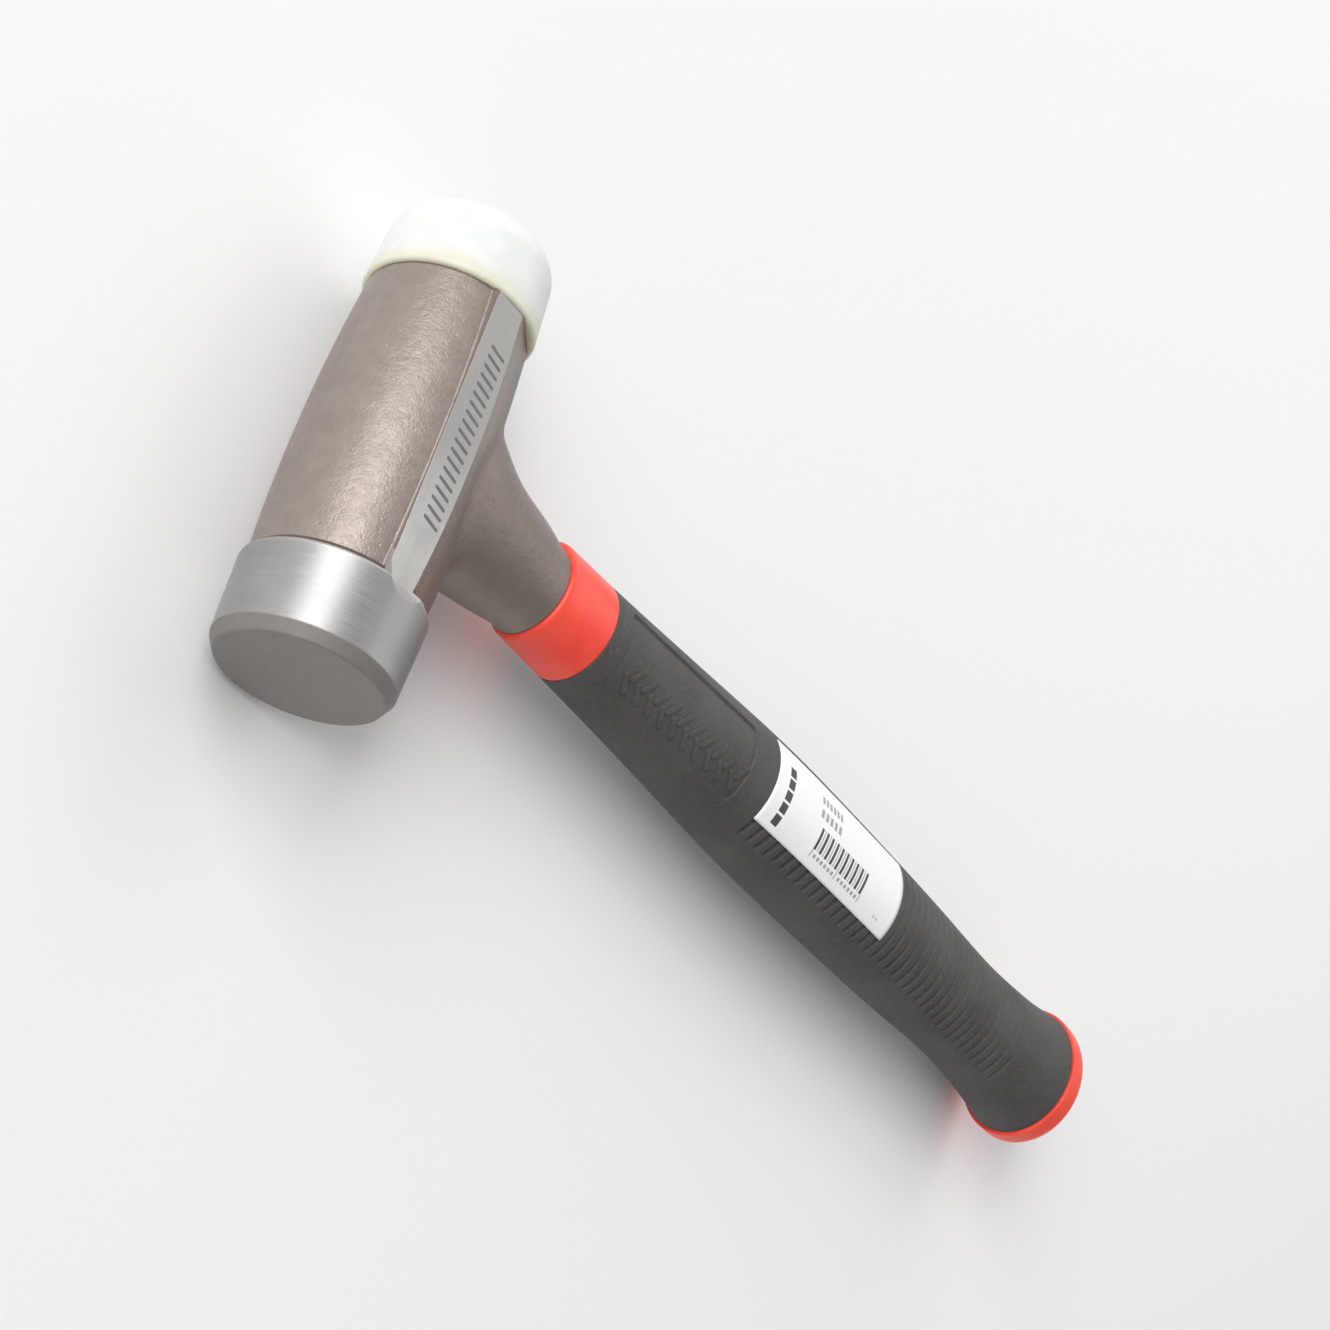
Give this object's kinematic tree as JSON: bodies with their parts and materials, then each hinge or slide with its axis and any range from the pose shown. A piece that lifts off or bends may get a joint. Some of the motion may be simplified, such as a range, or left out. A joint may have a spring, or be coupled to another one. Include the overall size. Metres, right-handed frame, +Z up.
{
  "type": "combination dead-blow hammer",
  "caption": "Hand hammer with a round steel face, a replaceable nylon face, a hollow shot-filled head and a ribbed rubber grip on a steel tube.",
  "frame": {"origin": "middle of the base of the bounding box, with the hammer lying on its side", "axes": "+X along the head from the steel face to the nylon face, +Y from the grip towards the head, +Z up"},
  "size_m": [0.1096, 0.3232, 0.0394],
  "materials": {
    "forged_steel": "bronze-grey paint over cast skin, with ground bare steel at the face band and side pads",
    "nylon": "satin white nylon, slightly translucent",
    "plated_steel": "turned and zinc plated",
    "seal_rubber": "smooth",
    "shot_steel": "dull",
    "tube_steel": "drawn tube",
    "adhesive": "cured epoxy",
    "red_plastic": "satin moulded",
    "core_plastic": "moulded",
    "grip_rubber": "matt moulded, with cross grooves",
    "label_paper": "printed white label"
  },
  "bodies": {
    "hammer": {"head_forging": "forged_steel", "nylon_face": "nylon", "face_stud": "plated_steel", "plug_seal": "seal_rubber", "chamber_plug": "plated_steel", "shaft_tube": "tube_steel", "bonding_sleeve": "adhesive", "tube_expander": "plated_steel", "grip_collar": "red_plastic", "grip_core": "core_plastic", "rubber_grip": "grip_rubber", "end_cap": "red_plastic", "product_label": "label_paper"},
    "shot_charge": {"steel_shot": "shot_steel"}
  },
  "joints": [
    {"name": "shot_slide", "type": "slide", "parent": "hammer", "child": "shot_charge", "axis": [1, 0, 0], "range_m": [0, 0.0103]}
  ]
}
